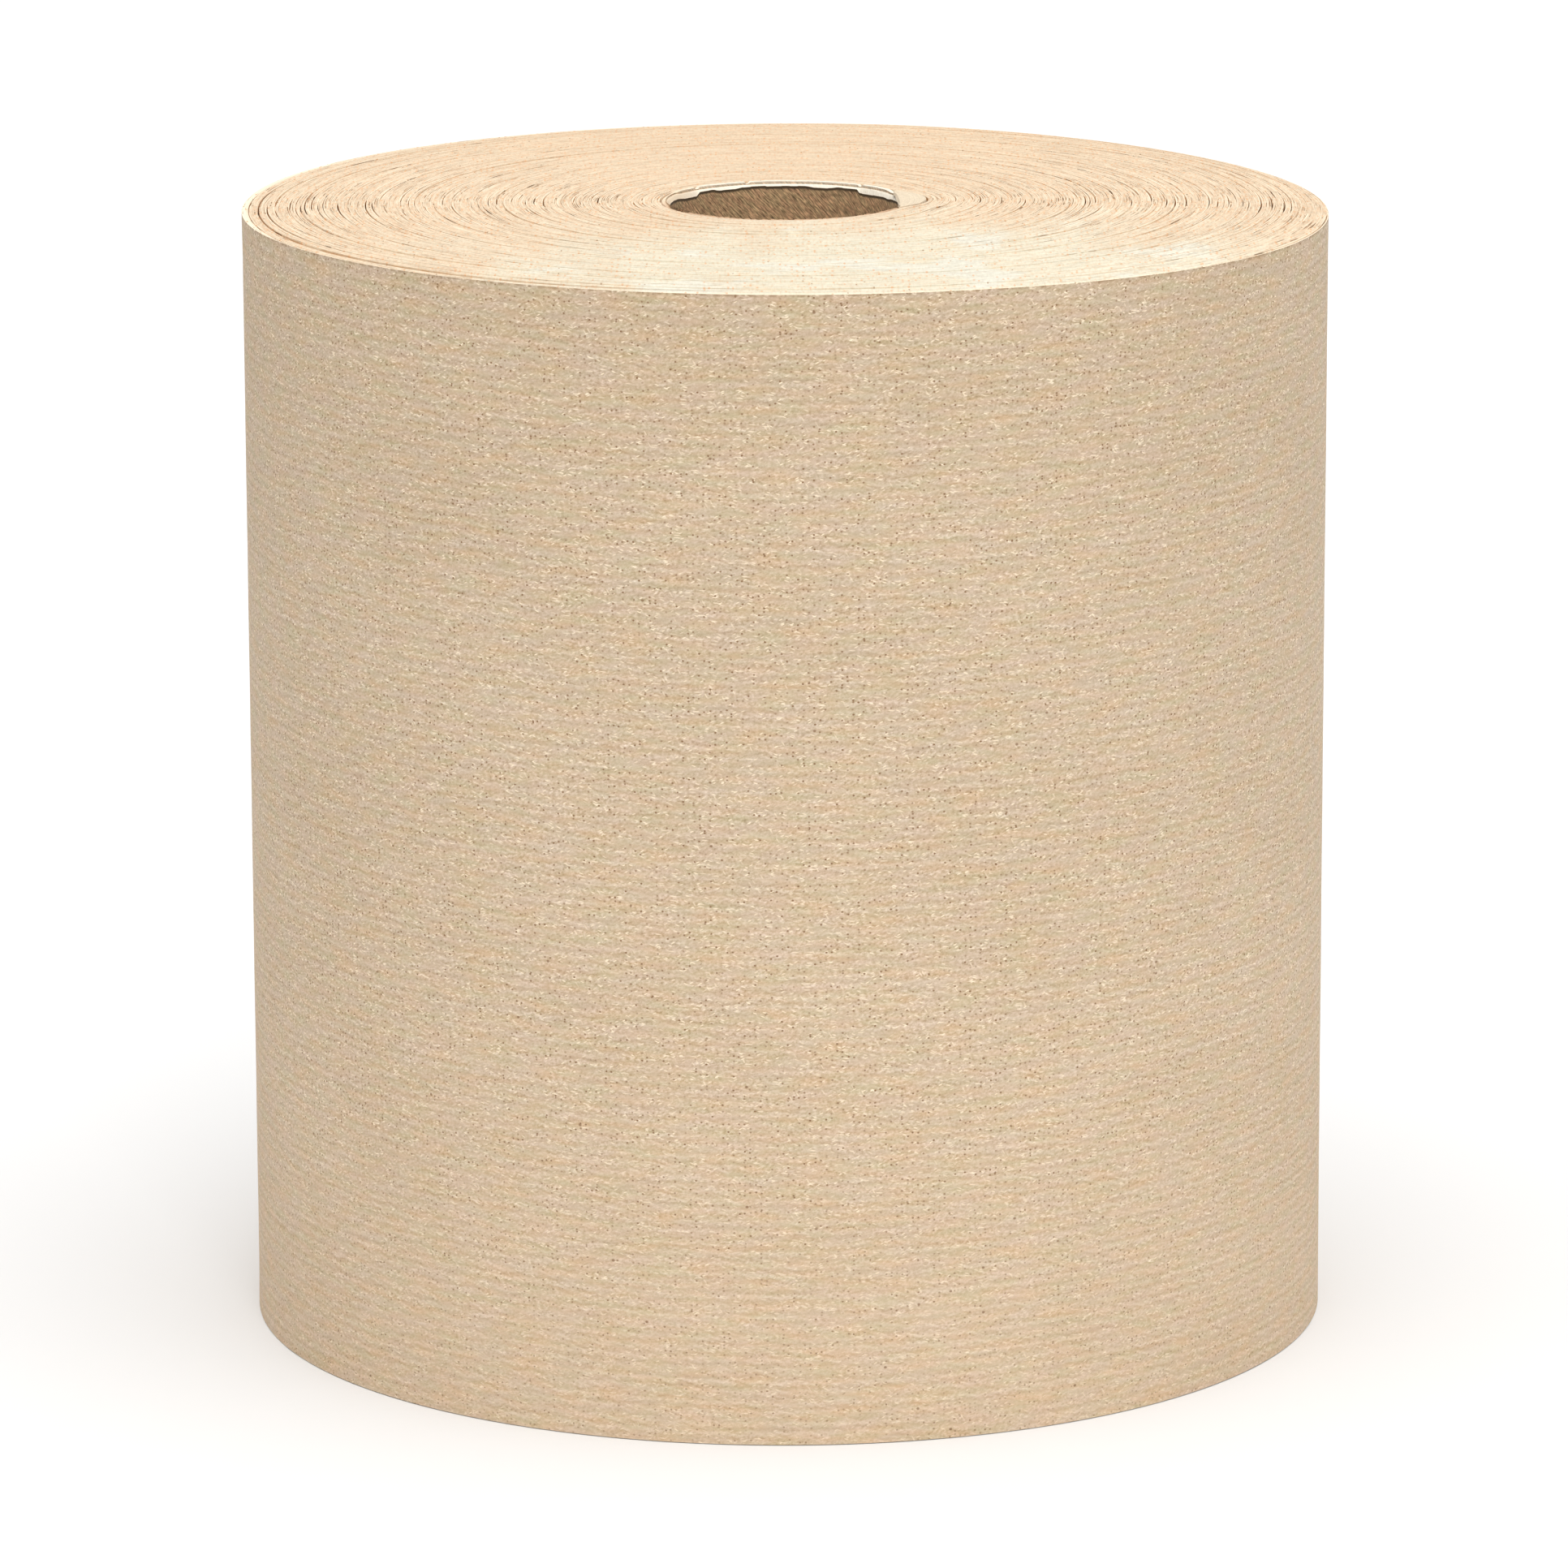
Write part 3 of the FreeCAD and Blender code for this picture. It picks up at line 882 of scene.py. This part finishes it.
def make_core_board():
    """Grey-brown board, wound on the slant, with cream fibres where it has been cut."""
    material, tree, shader = start_material("core_board")
    board = attribute(tree, "board")
    flat = scaled(tree, board, (1, 1, 0))
    slant = turned(tree, flat, -45)
    streak = grain_noise(tree, slant, 1.7, 0.24)
    tint = grain_noise(tree, slant, 3.5, 1.1, (6, 2, 2))
    cloud = grain_noise(tree, flat, 9, 6, (3, 1, 0), 2, 0.5)
    fine = grain_noise(tree, slant, 0.9, 0.3, (1, 1, 5))
    tone = varied(tree, ramp(tree, streak, 0.3, 0.7, 0.35, 1.75), cloud, 0.94, 1.06)
    tone = varied(tree, tone, fine, 0.65, 1.35)
    yellow_brown, red_brown = (0.42, 0.293, 0.158, 1), (0.444, 0.274, 0.153, 1)
    colour = blend(tree, span(tree, tint, 0.35, 0.65), yellow_brown, red_brown)
    colour = brightened(tree, colour, tone)
    cut = part_of(tree, board, 2)
    place = object_place(tree)
    near = span(tree, part_of(tree, place, 1), 0.002, -0.01)
    cream = blend(tree, fine, (0.8, 0.7, 0.54, 1), (1.0, 0.95, 0.84, 1))
    left = span(tree, part_of(tree, place, 0), -0.013, -0.0205)
    rim = blend(tree, left, cream, (0.84, 0.68, 0.49, 1))
    rim = blend(tree, near, rim, (0.6, 0.38, 0.23, 1))
    colour = blend(tree, ramp(tree, cut, 0.0, 1.0, 0, 1), colour, rim)
    # Painted shade where the tone is below 0: under the tear and along the near lip.
    colour = blend(tree, ramp(tree, cut, -0.1, -1.0, 0, 1), colour, (0.1, 0.07, 0.04, 1))
    finish_paper(tree, shader, colour, bump(tree, streak, 0.12), 0.8, 0.05)
    return material


# The setting


def make_floor():
    """A wide white floor, just below the roll's foot."""
    mesh = bpy.data.meshes.new("floor")
    half = 5.0
    corners = [(-half, -half, 0), (half, -half, 0), (half, half, 0), (-half, half, 0)]
    mesh.from_pydata(corners, [], [(0, 1, 2, 3)])
    floor = bpy.data.objects.new("floor", mesh)
    floor.location = (0, 0, -0.00005)
    bpy.context.scene.collection.objects.link(floor)
    material, _, shader = start_material("white_floor")
    shader.inputs["Base Color"].default_value = (0.86, 0.86, 0.86, 1)
    shader.inputs["Roughness"].default_value = 0.9
    shader.inputs["Specular IOR Level"].default_value = 0.1
    mesh.materials.append(material)


def make_world(ambient):
    """A soft even light, with a plain white background where the camera or a gloss sees it."""
    world = bpy.data.worlds.new("studio")
    bpy.context.scene.world = world
    world.use_nodes = True
    tree = world.node_tree
    back = tree.nodes["Background"]
    back.inputs["Color"].default_value = (1, 1, 1, 1)
    path = tree.nodes.new("ShaderNodeLightPath")
    seen = calc(tree, "MAXIMUM", path.outputs["Is Camera Ray"], path.outputs["Is Glossy Ray"])
    seen = calc(tree, "MAXIMUM", seen, path.outputs["Is Transmission Ray"])
    tree.links.new(ramp(tree, seen, 0, 1, ambient, 1.0), back.inputs["Strength"])


def make_overhead(name, strength, lean, spread):
    """A broad lamp overhead, even over the whole floor. lean tips it, in degrees about X, Y."""
    light = bpy.data.lights.new(name, "SUN")
    light.energy = strength
    light.angle = math.radians(spread)
    lamp = bpy.data.objects.new(name, light)
    lamp.location = (0, 0, 2)
    lamp.rotation_euler = (math.radians(lean[0]), math.radians(lean[1]), 0)
    bpy.context.scene.collection.objects.link(lamp)


def make_softbox(name, place, target, size, power):
    light = bpy.data.lights.new(name, "AREA")
    light.shape = "SQUARE"
    light.size = size
    light.energy = power
    lamp = bpy.data.objects.new(name, light)
    lamp.location = place
    lamp.rotation_euler = (Vector(target) - Vector(place)).to_track_quat("-Z", "Y").to_euler()
    bpy.context.scene.collection.objects.link(lamp)


def make_camera():
    """A long lens in front of the roll, a little above it and tipped down."""
    place = (0, -1.6164, 0.4618)
    pitch, pan, roll = 0.22241, -0.00033, -0.0033
    level = math.cos(pitch)
    forward = Vector((math.sin(pan) * level, math.cos(pan) * level, -math.sin(pitch)))
    right = Vector((math.cos(pan), -math.sin(pan), 0))
    up = right.cross(forward)
    across = right * math.cos(roll) + up * math.sin(roll)
    upright = across.cross(forward)
    turn = Matrix((across, upright, -forward)).transposed().to_4x4()
    lens = bpy.data.cameras.new("camera")
    lens.sensor_width = 36
    lens.lens = 208.33
    lens.clip_start = 0.05
    lens.clip_end = 50
    camera = bpy.data.objects.new("camera", lens)
    camera.matrix_world = Matrix.Translation(place) @ turn
    bpy.context.scene.collection.objects.link(camera)
    bpy.context.scene.camera = camera


# Build

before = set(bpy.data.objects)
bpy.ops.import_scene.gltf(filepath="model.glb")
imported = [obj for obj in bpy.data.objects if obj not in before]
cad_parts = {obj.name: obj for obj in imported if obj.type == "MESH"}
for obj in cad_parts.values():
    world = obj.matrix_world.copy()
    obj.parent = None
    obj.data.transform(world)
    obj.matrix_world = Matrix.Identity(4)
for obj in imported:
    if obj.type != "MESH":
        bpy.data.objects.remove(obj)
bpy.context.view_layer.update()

edge_paper = make_edge_paper()
make_end("web_upper_end", **UPPER_END, upper=True, material=edge_paper)
make_end("web_foot_end", **FOOT_END, upper=False, material=edge_paper)
make_side("web_side", make_side_paper())
make_fold("web_start_fold", make_fold_paper())
make_core("core_board_tube", make_core_board())

make_floor()
make_world(0.44)
make_overhead("overhead_light", 2.5, (8, 3), 80)
make_softbox("front_right_light", (0.35, -2.6, 0.9), (0, 0, 0.1), 0.8, 17)
make_camera()

bpy.context.scene.view_settings.view_transform = "Standard"
